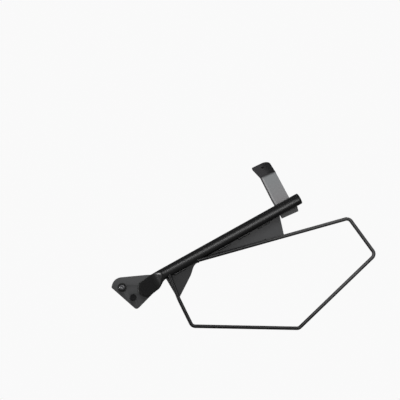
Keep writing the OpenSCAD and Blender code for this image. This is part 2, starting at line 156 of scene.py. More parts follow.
def gridQuads(rows, columns, wrap):
    # quads between each row and the next, round the ring where wrap is true
    i = np.arange(rows - 1)[:, None]
    j = np.arange(columns if wrap else columns - 1)[None, :]
    a = i * columns + j
    b = i * columns + (j + 1) % columns
    return np.stack([a, b, b + columns, a + columns], -1).reshape(-1, 4)


def closedTube(rings):
    # a closed skin through rings of points: each end is shut by a fan on its own middle point
    rows, columns = rings.shape[:2]
    points = np.concatenate([rings.reshape(-1, 3), [rings[0].mean(0)], [rings[-1].mean(0)]])
    quads = gridQuads(rows, columns, True)
    j = np.arange(columns)
    nextJ = (j + 1) % columns
    first = np.stack([nextJ, j, np.full(columns, rows * columns)], -1)
    lastRow = (rows - 1) * columns
    last = np.stack([lastRow + j, lastRow + nextJ, np.full(columns, rows * columns + 1)], -1)
    return points, quads, np.concatenate([first, last])


def joined(skins):
    # several skins as one: points, quads and triangles, with the indices moved on
    points, quads, triangles, base = [], [], [], 0
    for p, q, t in skins:
        points.append(p)
        quads.append(q + base)
        triangles.append(t + base)
        base += len(p)
    return np.concatenate(points), np.concatenate(quads), np.concatenate(triangles)


def newPiece(name, skin, material, node):
    # turns a skin into a piece that rides on the body and stands for its CAD node; the faces are
    # turned outward, where the volume inside, the sum of a . (b x c) / 6, is positive
    points, quads, triangles = skin
    split = np.concatenate([triangles, quads[:, [0, 1, 2]], quads[:, [0, 2, 3]]])
    a, b, c = (points[split[:, k]] for k in range(3))
    if np.einsum("ij,ij->", a, np.cross(b, c)) < 0:
        quads, triangles = quads[:, ::-1], triangles[:, ::-1]
    mesh = bpy.data.meshes.new(name)
    mesh.from_pydata(points.tolist(), [], quads.tolist() + triangles.tolist())
    mesh.validate()
    mesh.polygons.foreach_set("use_smooth", np.ones(len(mesh.polygons), bool))
    mesh.set_sharp_from_angle(angle=sharpAngle)
    mesh.materials.append(material)
    piece = bpy.data.objects.new(name, mesh)
    bpy.context.scene.collection.objects.link(piece)
    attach(piece, "root")
    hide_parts(node)
    return piece


def unit(v):
    return v / np.linalg.norm(v, axis=-1, keepdims=True)


def cornerArc(before, corner, after, radius, step):
    # points of the arc that rounds a corner: its centre lies on the bisector, radius / sin(half) away
    if radius == 0:
        return corner[None, :]
    d1, d2 = unit(before - corner), unit(after - corner)
    half = math.acos(float(np.clip(d1 @ d2, -1, 1))) / 2
    centre = corner + unit(d1 + d2) * radius / math.sin(half)
    start = corner + d1 * radius / math.tan(half) - centre
    turn = math.pi - 2 * half
    side = -1 if d1[0] * d2[1] - d1[1] * d2[0] > 0 else 1
    count = max(2, int(math.ceil(turn / step)) + 1)
    a = math.atan2(start[1], start[0]) + side * np.linspace(0, turn, count)
    return centre + radius * flatWay(a)


def roundedLine(corners, radii, step, closed=True):
    # a flat outline or path whose corners are rounded, each by its own radius
    corners = np.asarray(corners, float)
    n = len(corners)
    parts = []
    for i in range(n):
        inner = closed or 0 < i < n - 1
        radius = radii[i] if inner else 0
        parts.append(cornerArc(corners[i - 1], corners[i], corners[(i + 1) % n], radius, step))
    return np.concatenate(parts)


def doubleArea(line):
    # twice the area inside a closed line, positive where the line runs round to the left
    x, y = line[:, 0], line[:, 1]
    return np.sum(x * np.roll(y, -1) - np.roll(x, -1) * y)


def turnedLeft(flat, faces):
    # the same faces, the ones whose first three corners turn right reversed
    p, q, r = (flat[faces[:, k]] for k in range(3))
    d, e = q - p, r - p
    right = d[:, 0] * e[:, 1] - d[:, 1] * e[:, 0] < 0
    return np.where(right[:, None], faces[:, ::-1], faces)


def insetLine(line, amount):
    # a closed line moved inward along the mean normal of its two edges, for a small bevel
    edge = unit(np.roll(line, -1, 0) - line)
    normal = np.stack([-edge[:, 1], edge[:, 0]], -1) * np.sign(doubleArea(line))
    mean = unit(normal + np.roll(normal, 1, 0))
    lean = np.einsum("ij,ij->i", mean, normal)
    return line + mean * (amount / np.clip(lean, 0.5, 1))[:, None]


def sheetSkin(outline, holes, yFront, yBack, bevel, rounds=3):
    # a flat sheet: a quarter-round, a wall and a quarter-round carried round the outline and round
    # each hole, and the two faces filled in between
    a = np.linspace(0, math.pi / 2, rounds + 1)
    inset = np.concatenate([bevel * (1 - np.sin(a)), bevel * (1 - np.cos(a))])
    depth = np.concatenate([yFront + bevel * (1 - np.cos(a)), yBack - bevel * (1 - np.sin(a))])
    points, walls, fronts, backs, base = [], [], [], [], 0
    for line, sign in [(outline, 1)] + [(hole, -1) for hole in holes]:
        rows = np.stack([np.insert(insetLine(line, sign * k), 1, y, axis=1) for k, y in zip(inset, depth)])
        n = len(line)
        wall = gridQuads(len(rows), n, True) + base
        # the wall agrees with the front face, whose triangles turn left seen from outside
        walls.append(wall[:, ::-1] if doubleArea(line) * sign > 0 else wall)
        points.append(rows.reshape(-1, 3))
        fronts.append(np.arange(n) + base)
        backs.append(np.arange(n) + base + (len(rows) - 1) * n)
        base += len(rows) * n
    points = np.concatenate(points)
    flat = points[:, [0, 2]]
    faces = []
    for rings in (fronts, backs):
        loops = [np.insert(flat[ring], 2, 0, axis=1).tolist() for ring in rings]
        fill = np.concatenate(rings)[np.array(tessellate_polygon(loops))]
        faces.append(turnedLeft(flat, fill))
    return points, np.concatenate(walls), np.concatenate([faces[0], faces[1][:, ::-1]])


def ringsRound(centres, radius, first, second):
    # a ring round each of a row of centres: centre + radius * (first * cos + second * sin)
    a = turnAngles(radius.shape[1])[None, :, None]
    first, second = (np.broadcast_to(way, centres.shape)[:, None, :] for way in (first, second))
    return centres[:, None, :] + radius[..., None] * (np.cos(a) * first + np.sin(a) * second)


# The tube's section goes from round to a flat with round edges, at a constant girth
def crushShare(u):
    # 0 where the tube is round and 1 where it is flat
    t = np.clip((tube["roundFrom"] - u) / (tube["roundFrom"] - tube["flatUntil"]), 0, 1)
    return t * t * (3 - 2 * t)


def sunk(u, noseCentre):
    # how far the section's middle lies below the axis: it sinks as it is crushed, then leans on down
    lean = np.clip((tube["flatUntil"] - u) / (tube["flatUntil"] - noseCentre), 0, 1)
    return tube["flatSink"] * crushShare(u) + (tube["flatDrop"] - tube["flatSink"]) * lean


def halfWidth(halfThick):
    # half width of the crushed section that keeps the girth of the round tube
    return halfThick + (math.pi * 2 * tubeRadius - 2 * math.pi * halfThick) / 4


def girthPoints(share, w, h):
    # a point at a share of the girth of a bar with round edges, half width w, half thickness h
    quarter = math.pi * h / 2 + (w - h)
    q = np.floor(share * 4).astype(int) % 4
    part = share * 4 - np.floor(share * 4)
    s = np.where(q % 2 == 0, part, 1 - part) * quarter
    bend = np.minimum(s / h, math.pi / 2)
    across = w - h + h * np.cos(bend) - np.maximum(s - math.pi * h / 2, 0)
    deep = h * np.sin(bend)
    return np.where((q == 0) | (q == 3), 1, -1) * across, np.where(q < 2, 1, -1) * deep


def makeMainTube(material):
    # half thickness h goes from the tube's radius to the flat's by the crush share, and half width w
    # keeps the girth; the nose is cut to a round plan, and its edge thins out over the half thickness
    flatHalf = tube["flatThick"] / 2
    noseRadius = halfWidth(flatHalf)
    noseCentre = tube["noseAt"] + noseRadius
    noseTurn = np.linspace(math.radians(3), math.pi / 2, tube["noseRows"])
    straightEnd = tube["end"] - tube["edgeRound"]
    u = np.concatenate([noseCentre - noseRadius * np.cos(noseTurn),
                        np.linspace(noseCentre, tube["roundFrom"], tube["crushRows"])[1:],
                        np.linspace(tube["roundFrom"], straightEnd, tube["straightRows"])[1:]])[:, None]
    fullHalf = tubeRadius + (flatHalf - tubeRadius) * crushShare(u)
    toEdge = np.maximum(fullHalf - (u - tube["noseAt"]), 0)
    thinned = np.sqrt(np.maximum(fullHalf ** 2 - toEdge ** 2, 1e-9))
    plan = np.sqrt(np.maximum(noseRadius ** 2 - (noseCentre - u) ** 2, 0))
    inNose = u < noseCentre
    h = np.where(inNose, thinned, fullHalf)
    w = np.where(inNose, np.minimum(halfWidth(fullHalf), plan), halfWidth(fullHalf))
    share = np.arange(tube["ringPoints"])[None, :] / tube["ringPoints"]
    across, deep = girthPoints(share, np.maximum(w, h), h)
    outside = inTubeLine(u, tubeY + tubeRadius - fullHalf + deep, across - sunk(u, noseCentre))
    # the open end: a rounded edge, the end face, and the bore run back and closed out of sight
    bend = np.linspace(0, math.pi / 2, 5)[1:]
    bore = np.array(tube["boreRows"])
    rimRadius = np.concatenate([tubeRadius - tube["edgeRound"] * (1 - np.cos(bend)),
                                np.full(len(bore), tubeRadius - tube["wall"])])[:, None]
    rimAlong = np.concatenate([tube["end"] - tube["edgeRound"] * (1 - np.sin(bend)), tube["end"] - bore])
    a = share * fullTurn
    rim = inTubeLine(rimAlong[:, None], tubeY + rimRadius * np.sin(a), rimRadius * np.cos(a))
    skin = closedTube(np.concatenate([outside, rim]))
    return newPiece("tube", skin, material, "main_tube")


# Round things: a profile of radius and height turned round an axis
def turned(profile, centre, axis, up, count):
    # rings of a profile [radius, height]: centre + axis * height + radius * (up * cos + side * sin)
    profile = np.asarray(profile, float)
    axis, up = unit(np.asarray(axis, float)), unit(np.asarray(up, float))
    radius = np.broadcast_to(profile[:, :1], (len(profile), count))
    return ringsRound(np.asarray(centre) + axis * profile[:, 1:], radius, up, np.cross(axis, up))


endPlug = {
    "cap": 3.6 * mm,
    "rim": 2.0 * mm,
    "shank": 18 * mm,
    "shankGap": 0.2 * mm,
    "shankEdge": 0.4 * mm,
    "shankRows": 73,
    "ribHeight": 0.1 * mm,
    "ribs": 3,
    "turnSteps": 96,
}


def makeEndPlug(material):
    # the profile: a flat foot, the shank with a rib at each crest of a cosine, the cap's round rim
    cap, rim, shank = endPlug["cap"], endPlug["rim"], endPlug["shank"]
    shankRadius = tubeRadius - tube["wall"] - endPlug["shankGap"]
    a = np.linspace(0, math.pi / 2, 9)
    rimLine = np.stack([tubeRadius - rim * (1 - np.cos(a)), cap - rim * (1 - np.sin(a))], -1)
    heights = np.linspace(-shank, 0, endPlug["shankRows"])
    rib = np.maximum(0, np.cos(heights / shank * fullTurn * (endPlug["ribs"] + 1))) ** 6
    shankLine = np.stack([shankRadius + endPlug["ribHeight"] * rib, heights], -1)
    foot = [[shankRadius * 0.4, -shank], [shankRadius - endPlug["shankEdge"], -shank]]
    crown = [[tubeRadius * 0.5, cap], [tubeRadius * 0.2, cap]]
    profile = np.concatenate([foot, shankLine, [[tubeRadius, 0]], rimLine, crown])
    middle = inTubeLine(tube["end"], tubeY, 0.0)
    rings = turned(profile, middle, inSpace(alongTube, 0), [0, 1, 0], endPlug["turnSteps"])
    return newPiece("endPlug", closedTube(rings), material, "tube_end_plug")


# Front plate: round over the upper bolt, and out of sight behind the tube
frontPlate = {
    "boltPitch": 32.4 * mm,
    "boltFall": math.radians(41.3),
    "endRadius": 22.3 * mm,
    "endFrom": math.radians(165),
    "endTo": math.radians(96),
    "side": 15.6 * mm,
    "foot": 24.4 * mm,
    "top": 38 * mm,
    "reach": 68 * mm,
    "hiddenTop": 0.75,          # of the tube's radius, above and below its axis
    "hiddenLow": -1.65,
    "leftRadius": 2.5 * mm,
    "crownRadius": 40 * mm,
    "hiddenRadii": (4 * mm, 8 * mm),
    "cornerRadius": 6.5 * mm,
    "holeRadius": 4.4 * mm,
    "bevel": 0.45 * mm,
    "arcStep": math.radians(3),
}
boltLine = flatWay(-frontPlate["boltFall"])
upperBolt = -boltLine * frontPlate["boltPitch"] / 2
lowerBolt = boltLine * frontPlate["boltPitch"] / 2


def plateOutline():
    # round over the upper bolt, a crowned top edge, and two edges square to each other below
    p = frontPlate
    sideWay = -leftOf(boltLine)
    farOut = p["endRadius"] / math.cos((p["endFrom"] - p["endTo"]) / 2)
    endCorner = upperBolt + farOut * flatWay((p["endFrom"] + p["endTo"]) / 2)
    leftStart = upperBolt + p["endRadius"] * flatWay(p["endFrom"])
    leftWay = -flatWay(p["endFrom"] - math.pi / 2)
    reach = (p["side"] - (leftStart - upperBolt) @ sideWay) / (leftWay @ sideWay)
    lowCorner = lowerBolt + boltLine * p["foot"] + sideWay * p["side"]
    hiddenLow = onTube(p["reach"], tubeRadius * p["hiddenLow"])
    hiddenTop = onTube(p["reach"], tubeRadius * p["hiddenTop"])
    crown = np.array([hiddenTop[0] * 0.7, p["top"]])
    corners = [leftStart + leftWay * reach, endCorner, crown, hiddenTop, hiddenLow, lowCorner]
    radii = [p["leftRadius"], p["endRadius"], p["crownRadius"], *p["hiddenRadii"], p["cornerRadius"]]
    return roundedLine(corners, radii, p["arcStep"])


def makeFrontPlate(material):
    rim = frontPlate["holeRadius"] * flatWay(turnAngles(48))
    holes = [upperBolt + rim, lowerBolt + rim]
    skin = sheetSkin(plateOutline(), holes, plateFrontY, 0.0, frontPlate["bevel"])
    return newPiece("frontPlate", skin, material, "front_plate")


# What both bolts share: the shank and its thread
bolt = {
    "radius": 4.0 * mm,
    "threadPitch": 1.25 * mm,
    "threadDeep": 0.6 * mm,
    "tipChamfer": 0.9 * mm,
    "reach": 20 * mm,
    "rowsPerPitch": 10,
    "turnSteps": 72,
}
boltAngles = turnAngles(bolt["turnSteps"])


def hexRadius(a, flats):
    # distance from the middle of a hexagon to its edge, at an angle
    return flats / 2 / np.cos((a + math.pi / 6) % (math.pi / 3) - math.pi / 6)


def boltSkin(headRows, start, centre, spin):
    # head rows [radius at each angle, height], then a shank whose thread is a ridge that climbs one
    # pitch for each turn, run out at its start, with a chamfered tip; heights grow from the plate's
    # outer face inward to the bike, so the head's are negative
    a, pitch = boltAngles, bolt["threadPitch"]
    stop = bolt["reach"] - plateFrontY
    z = np.linspace(start, stop, int((stop - start) / pitch * bolt["rowsPerPitch"]) + 1)[:, None]
    ridge = np.abs(((z / pitch - a / fullTurn) % 1) * 2 - 1)
    depth = bolt["threadDeep"] * np.clip((z - start) / pitch / 2, 0, 1)
    tip = np.clip(z - stop + bolt["tipChamfer"], 0, None)
    shank = np.minimum(bolt["radius"] - depth * ridge, bolt["radius"] - tip)
    head = [[np.broadcast_to(value, a.shape) for value in row] for row in headRows]
    radii = np.concatenate([[radius for radius, _ in head], shank])
    heights = np.concatenate([[height for _, height in head], np.broadcast_to(z, shank.shape)])
    return closedTube(inSpace(centre + radii[..., None] * flatWay(a + spin), plateFrontY + heights))


socketScrew = {
    "headRadius": 7.0 * mm,
    "headHeight": 4.4 * mm,
    "headRows": 18,
    "headCurve": 0.9,
    "socketFlats": 5.0 * mm,
    "socketDeep": 2.8 * mm,
    "floorDip": 0.5 * mm,
    "lip": 0.25 * mm,
    "crownRadius": 3.2 * mm,
    "crownFlat": 0.15 * mm,
    "plainShank": 3 * mm,
    "spin": math.radians(8),
}
screwWasher = {
    "radius": 9.5 * mm,
    "thick": 1.6 * mm,
    "arcStep": math.radians(23),
    "turnSteps": 72,
}


def makeSocketScrew(material):
    # up from the socket's floor, over the lip, and down the dome to the washer
    p = socketScrew
    seat = -screwWasher["thick"]
    top = seat - p["headHeight"]
    socket = hexRadius(boltAngles, p["socketFlats"])
    flat = p["crownRadius"] + p["crownFlat"]
    rows = [(socket * 0.25, top + p["socketDeep"] + p["floorDip"]),
            (socket, top + p["socketDeep"]),
            (socket, top + p["socketDeep"] / 2),
            (socket, top + p["lip"]),
            (socket + p["lip"], top + 0.02 * mm),
            (np.maximum(p["crownRadius"], socket + p["lip"] + 0.2 * mm), top)]
    rows += [(flat + (p["headRadius"] - flat) * math.sin(k),
              seat - p["headHeight"] * math.cos(k) ** p["headCurve"])
             for k in np.linspace(0.06, 1, p["headRows"]) * math.pi / 2]
    rows += [(bolt["radius"] + 0.6 * mm, seat), (bolt["radius"], seat)]
    skin = boltSkin(rows, seat + p["plainShank"], upperBolt, p["spin"])
    return newPiece("socketScrew", skin, material, "socket_screw")


hexBolt = {
    "flats": 13 * mm,
    "height": 5.3 * mm,
    "chamferShare": 0.475,      # radius of the round top face, of the width across flats
    "chamferSlope": math.radians(30),
    "dish": 0.35 * mm,
    "plainShank": 1.5 * mm,
    "spin": math.radians(-12),
}


def makeHexBolt(material):
    # a dished top; the head's corners are cut by a cone, so each side ends in a bow
    edge = hexRadius(boltAngles, hexBolt["flats"])
    topFace = hexBolt["flats"] * hexBolt["chamferShare"]
    cut = np.maximum(edge - topFace, 0) * math.tan(hexBolt["chamferSlope"])
    top, dish = -hexBolt["height"], hexBolt["dish"]
    rows = [(topFace * 0.3, top + dish), (topFace * 0.8, top + dish - 0.05 * mm), (topFace * 0.9, top),
            (topFace, top), (edge - 0.05 * mm, top + cut), (edge, top + cut + 0.15 * mm), (edge, -0.3 * mm),
            (edge - 0.2 * mm, 0.0), (bolt["radius"] + 0.4 * mm, 0.0), (bolt["radius"], 0.0)]
    skin = boltSkin(rows, hexBolt["plainShank"], lowerBolt, hexBolt["spin"])
    return newPiece("hexBolt", skin, material, "hex_bolt")


def makeWasher(material):
    # a ring whose edges are rounded by a third of its thickness
    outer, inner, thick = screwWasher["radius"], frontPlate["holeRadius"], screwWasher["thick"]
    corners = [(outer, thick), (inner, thick), (inner, 0), (outer, 0)]
    profile = roundedLine(corners, [thick / 3] * 4, screwWasher["arcStep"])
    middle = inSpace(upperBolt, plateFrontY)
    rings = turned(profile, middle, [0, -1, 0], [0, 0, 1], screwWasher["turnSteps"])
    rows, columns = rings.shape[:2]
    quads = gridQuads(rows + 1, columns, True) % (rows * columns)
    skin = rings.reshape(-1, 3), quads, np.zeros((0, 3), int)
    return newPiece("screwWasher", skin, material, "screw_washer")


# Bag rail: one rod bent in a flat plane, on the outer face of the gusset
rail = {
    "radius": 4.0 * mm,
    "bend": 11.5 * mm,
    "kinkBend": 46 * mm,
    "legLap": 0.55,             # of the tube's radius, inside the tube
    "legAt": 98 * mm,
    "kink": (111 * mm, -15.5 * mm),
    "lowFront": (140 * mm, -74 * mm),
    "lowRear": (375 * mm, -78.5 * mm),
    "tip": (546 * mm, 84 * mm),
    "topRear": (487 * mm, 164 * mm),
    "leaveAt": 175 * mm,
    "leaveLap": 10 * mm,
    "endChamfer": 0.5 * mm,
    "arcStep": math.radians(5),
    "stepLength": 6 * mm,
    "ringPoints": 32,
}
railLow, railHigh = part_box("bag_rail")
railY = (railLow.y + railHigh.y) / 2
legTop = onTube(rail["legAt"], 0.0)
kink = np.array(rail["kink"])
topRear = np.array(rail["topRear"])
topLeave = onTube(rail["leaveAt"], -tubeRadius)
topWay = unit(topRear - topLeave)
topStart = topLeave - topWay * rail["leaveLap"]
legWay = unit(legTop - kink)


def finer(line, step):
    # the same line with points no further apart than a step
    lengths = np.linalg.norm(np.diff(line, axis=0), axis=1)
    parts = [line[:1]]
    for a, b, length in zip(line[:-1], line[1:], lengths):
        if length > 1e-9:
            share = np.arange(1, int(math.ceil(length / step)) + 1) / math.ceil(length / step)
            parts.append(a + (b - a) * share[:, None])
    return np.concatenate(parts)


def makeBagRail(material):
    # circles square to the rod's path: path + radius * (normal * cos + depth * sin)
    legEnd = legTop - legWay * tubeRadius * rail["legLap"]
    corners = [legEnd, kink, rail["lowFront"], rail["lowRear"], rail["tip"], topRear, topStart]
    radii = [0, rail["kinkBend"]] + [rail["bend"]] * 4 + [0]
    flat = finer(roundedLine(corners, radii, rail["arcStep"], closed=False), rail["stepLength"])
    path = inSpace(flat, railY)
    # a small chamfer at each cut end
    chamfer = rail["endChamfer"]
    ends = [path[0], path[0] + unit(path[1] - path[0]) * chamfer]
    tail = [path[-1] + unit(path[-2] - path[-1]) * chamfer, path[-1]]
    path = np.concatenate([ends, path[1:-1], tail])
    radius = np.full((len(path), rail["ringPoints"]), rail["radius"])
    radius[[0, -1]] = rail["radius"] - chamfer
    tangent = unit(np.gradient(path, axis=0))
    depth = unit([0.0, 1.0, 0.0] - tangent * tangent[:, 1:2])
    rings = ringsRound(path, radius, np.cross(tangent, depth), depth)
    return newPiece("bagRail", closedTube(rings), material, "bag_rail")


# Gusset plate
gusset = {
    "lead": 11 * mm,
    "lap": 1.2 * mm,            # of the upper edge inside the wall of the tube
    "tipDepth": 65 * mm,
    "tipLead": 1 * mm,
    "shoulderRun": 41 * mm,
    "shoulderDepth": 31 * mm,
    "hollowRadius": 28 * mm,
    "hollowLead": 15 * mm,
    "hollowDrop": 2 * mm,
    "end": 374 * mm,
    "rake": 14 * mm,
    "tipRadius": 3 * mm,
    "shoulderRadius": 40 * mm,
    "rearRadius": 2 * mm,
    "bevel": 0.4 * mm,
    "arcStep": math.radians(3),
}
gussetLow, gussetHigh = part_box("gusset_plate")
topRunSlope = (topWay @ squareToTube) / (topWay @ alongTube)


def topRunRise(u):
    # height of the top run's middle line above the tube's axis
    return -tubeRadius + (u - rail["leaveAt"]) * topRunSlope


def makeGusset(material):
    g, legAt = gusset, rail["legAt"]
    tipAlong = legAt - g["tipDepth"] * (legWay @ alongTube) / (legWay @ squareToTube)
    hollowAt = rail["leaveAt"] - g["hollowLead"]
    rearLow = g["end"] - g["rake"]
    hidden = g["lap"] - tubeRadius
    corners = np.array([
        [legAt - g["lead"], hidden],
        [tipAlong - g["tipLead"], -g["tipDepth"]],
        [legAt + g["shoulderRun"], -g["shoulderDepth"]],
        [hollowAt, topRunRise(hollowAt) - g["hollowDrop"]],
        [rearLow, topRunRise(rearLow) - g["hollowDrop"]],
        [g["end"], hidden],
    ])
    radii = [0, g["tipRadius"], g["shoulderRadius"], g["hollowRadius"], g["rearRadius"], 0]
    u, w = roundedLine(corners, radii, g["arcStep"]).T
    skin = sheetSkin(onTube(u, w), [], gussetLow.y, gussetHigh.y, g["bevel"])
    return newPiece("gusset", skin, material, "gusset_plate")


# Hanger strap: a flat bar folded once, worked out flat and then bent round the fold
strap = {
    "thick": 5 * mm,
    "at": 376.5 * mm,
    "width": 37.5 * mm,
    "foldRise": 75.6 * mm,
    "foldSkew": math.radians(4.9),
    "foldLead": 2 * mm,
    "foldInset": 1 * mm,
    "footDrop": 21.5 * mm,
    "footLead": 1 * mm,
    "footFlare": 6.5 * mm,
    "footCant": 3 * mm,
    "foldAngle": math.radians(57),
    "foldRadius": 4 * mm,
    "tabLength": 46 * mm,
    "tabFlare": 3 * mm,
    "tabRearFlare": 2.4 * mm,
    "tabSlant": 2.4 * mm,
    "tabCorner": 15 * mm,
    "frontCorner": 3 * mm,
    "holeRadius": 3.5 * mm,
    "holeAt": 29 * mm,
    "bevel": 0.5 * mm,
    "columns": 24,
    "rows": (12, 16, 14),       # below the waist, up to the fold, round the fold
    "rayShares": (0, 0.06, 0.25, 0.5, 0.75, 1),
    "arcStep": math.radians(6),
    "edgeStep": 4 * mm,
}
foldLength = (strap["foldRadius"] + strap["thick"] / 2) * strap["foldAngle"]
foldStart = onTube(strap["at"] + strap["foldLead"],
                   strap["foldRise"] + strap["width"] * math.sin(strap["foldSkew"]) / 2)
foldWay = flatWay(tube["pitch"] - strap["foldSkew"])
foldUp = leftOf(foldWay)
foldWidth = strap["width"] - strap["foldInset"]


def fromFold(point):
    # along the fold and up from it, in the strap's plane
    d = point - foldStart
    return np.array([d @ foldWay, d @ foldUp])


def bentSheet(across, developed, depth):
    # a point of the developed sheet, at a depth behind its outer face, bent round the fold: straight
    # below zero, an arc up to the fold's length, then straight along the tab
    turn = np.clip(developed, 0, foldLength) / (strap["foldRadius"] + strap["thick"] / 2)
    before = np.minimum(developed, 0)
    after = np.maximum(developed - foldLength, 0)
    centreY = plateFrontY + strap["thick"] + strap["foldRadius"]
    r = centreY - plateFrontY - depth
    up = before + r * np.sin(turn) + after * np.cos(turn)
    y = centreY - r * np.cos(turn) + after * np.sin(turn)
    return inSpace(foldStart + across[..., None] * foldWay + up[..., None] * foldUp, y)


def strapSheet():
    # the developed sheet: its points [across, up], its quads, and how far back its front edge lies
    p, at = strap, strap["at"]
    rear = at + p["width"]
    footFront = fromFold(onTube(at + p["footLead"], p["footLead"] - p["footDrop"]))
    waist = fromFold(onTube(at, tubeRadius * 2))
    rearTop = fromFold(onTube(rear, tubeRadius))
    rearFoot = fromFold(onTube(rear + p["footFlare"], -tubeRadius))
    rearLow = fromFold(onTube(rear + p["footFlare"] - p["footCant"], -p["footDrop"]))
    # upright and fold: each row runs from the front edge to the rear edge at that height
    low, middle, bend = p["rows"]
    heights = np.unique(np.round(np.concatenate([
        np.linspace(footFront[1], waist[1], low), np.linspace(waist[1], 0, middle),
        [rearFoot[1], rearTop[1]], np.linspace(0, foldLength, bend)]), 7))
    left = np.interp(heights, [footFront[1], waist[1], 0], [footFront[0], waist[0], 0])
    right = np.interp(heights, [footFront[1], rearFoot[1], rearTop[1], 0],
                      [rearLow[0], rearFoot[0], rearTop[0], foldWidth])
    share = np.linspace(0, 1, p["columns"])
    across = left[:, None] + (right - left)[:, None] * share
    grid = np.stack([across, np.broadcast_to(heights[:, None], across.shape)], -1)
    # tab: rays from the hole's rim out to the tab's edge, whose first stretch is the fold line
    foldLine = np.stack([foldWidth * share, np.zeros_like(share)], -1)
    corners = [(foldWidth, 0), (foldWidth + p["tabRearFlare"], p["tabLength"] + p["tabSlant"]),
               (-p["tabFlare"], p["tabLength"]), (0, 0)]
    edge = roundedLine(corners, [0, p["tabCorner"], p["frontCorner"], 0], p["arcStep"], closed=False)
    outer = np.concatenate([foldLine, finer(edge, p["edgeStep"])[1:-1]])
    hole = np.array([foldWidth / 2, p["holeAt"]])
    rays = outer - hole
    rim = hole + p["holeRadius"] * flatWay(np.arctan2(rays[:, 1], rays[:, 0]))
    patch = rim + (outer - rim) * np.array(p["rayShares"])[:, None, None] + [0, foldLength]
    # the patch's last ring shares the grid's last row
    rows, columns = across.shape
    rings, spokes = patch.shape[:2]
    flat = np.concatenate([grid.reshape(-1, 2), patch[:-1].reshape(-1, 2), patch[-1][columns:]])
    inner = np.arange((rings - 1) * spokes).reshape(-1, spokes) + rows * columns
    rest = np.arange(spokes - columns) + rows * columns + inner.size
    shared = np.arange(columns) + (rows - 1) * columns
    index = np.concatenate([inner, np.concatenate([shared, rest])[None, :]])
    following = np.roll(index, -1, axis=1)
    patchQuads = np.stack([index[:-1], following[:-1], following[1:], index[1:]], -1).reshape(-1, 4)
    faces = np.concatenate([gridQuads(rows, columns, False), patchQuads])
    return flat, turnedLeft(flat, faces), np.interp(flat[:, 1], heights, left)


def makeStrap(material):
    # both faces of the sheet, and a wall along each edge that only one face has
    flat, faces, frontEdge = strapSheet()
    n = len(flat)
    edges = np.concatenate([faces[:, [k, (k + 1) % 4]] for k in range(4)])
    shared = np.isin(edges[:, 0] * n + edges[:, 1], edges[:, 1] * n + edges[:, 0])
    a, b = edges[~shared].T
    wall = np.stack([b, a, a + n, b + n], -1)
    points = np.concatenate([bentSheet(flat[:, 0], flat[:, 1], depth) for depth in (0.0, strap["thick"])])
    skin = points, np.concatenate([faces, faces[:, ::-1] + n, wall]), np.zeros((0, 3), int)
    piece = newPiece("strap", skin, material, "hanger_strap")
    for name, values in (("upTheStrap", flat[:, 1]), ("acrossTheStrap", flat[:, 0] - frontEdge)):
        attribute = piece.data.attributes.new(name, "FLOAT", "POINT")
        attribute.data.foreach_set("value", np.tile(values, 2).astype(np.float32))
    bevel = piece.modifiers.new("edges", "BEVEL")
    bevel.width = strap["bevel"]
    bevel.segments = 3
    bevel.limit_method = "ANGLE"
    bevel.angle_limit = math.radians(50)
    bevel.harden_normals = False
    return piece


# Welds: a bead carried along a path, with the ripples that the torch leaves
weld = {
    "radius": 2.1 * mm,
    "ripple": 1.7 * mm,
    "rippleHeight": 0.13,
    "rippleLag": 0.45,
    "rippleWander": 0.25,
    "swell": 0.035,
    "stitchLength": 26 * mm,
    "stitchPitch": 50 * mm,
    "clear": 6.6 * mm,
    "noseFrom": math.radians(102),
    "noseTo": math.radians(258),
    "strapLead": 5 * mm,
    "strapTail": 3 * mm,
    "strapRise": 0.76,          # of the tube's radius
    "strapBead": 1.1,           # of the bead's radius, as the six below
    "rodBead": 0.8,
    "tackSink": 0.35,
    "stitchOut": 0.4,
    "stitchDown": 0.3,
    "noseSink": 0.2,
    "strapSink": 0.6,
    "tackOut": 0.85,            # of the rod's radius
    "legTacks": (0.174, 0.398),  # shares of the leg's run down the gusset, and of the top run
    "runTacks": (0.22, 0.5, 0.8),
    "ringPoints": 20,
    "seed": 7,
}
weldRandom = np.random.default_rng(weld["seed"])


def rippledBead(path, radius, outward, closed=False):
    # radius * (1 + height * |sin| of the way along, which lags on the bead's crest) * round ends
    path = np.asarray(path, float)
    length = np.concatenate([[0], np.cumsum(np.linalg.norm(np.diff(path, axis=0), axis=1))])
    s = np.linspace(0, length[-1], max(12, int(length[-1] / (weld["ripple"] / 6))))
    outward = np.broadcast_to(np.asarray(outward, float), path.shape)
    path, outward = (np.stack([np.interp(s, length, line[:, k]) for k in range(3)], -1)
                     for line in (path, outward))
    tangent = unit(np.gradient(path, axis=0))
    crest = unit(outward - tangent * np.einsum("ij,ij->i", outward, tangent)[:, None])
    lag = weld["rippleLag"] * np.cos(turnAngles(weld["ringPoints"]))[None, :]
    wander = np.interp(s, np.linspace(0, s[-1], 9), weldRandom.normal(0, weld["rippleWander"], 9))[:, None]
    ripple = np.abs(np.sin(math.pi * (s[:, None] / weld["ripple"] + lag + wander))) ** 0.6
    swell = 1 + np.interp(s, np.linspace(0, s[-1], 7), weldRandom.normal(0, weld["swell"], 7))[:, None]
    ends = np.ones_like(s)
    if not closed:
        fromEnd = np.minimum(s, s[-1] - s) / radius
        ends = np.sqrt(np.clip(1 - (1 - np.clip(fromEnd, 0, 1)) ** 2, 0.02, 1))
    r = radius * ends[:, None] * swell * (1 - weld["rippleHeight"] * (1 - ripple))
    return closedTube(ringsRound(path, r, crest, np.cross(tangent, crest)))


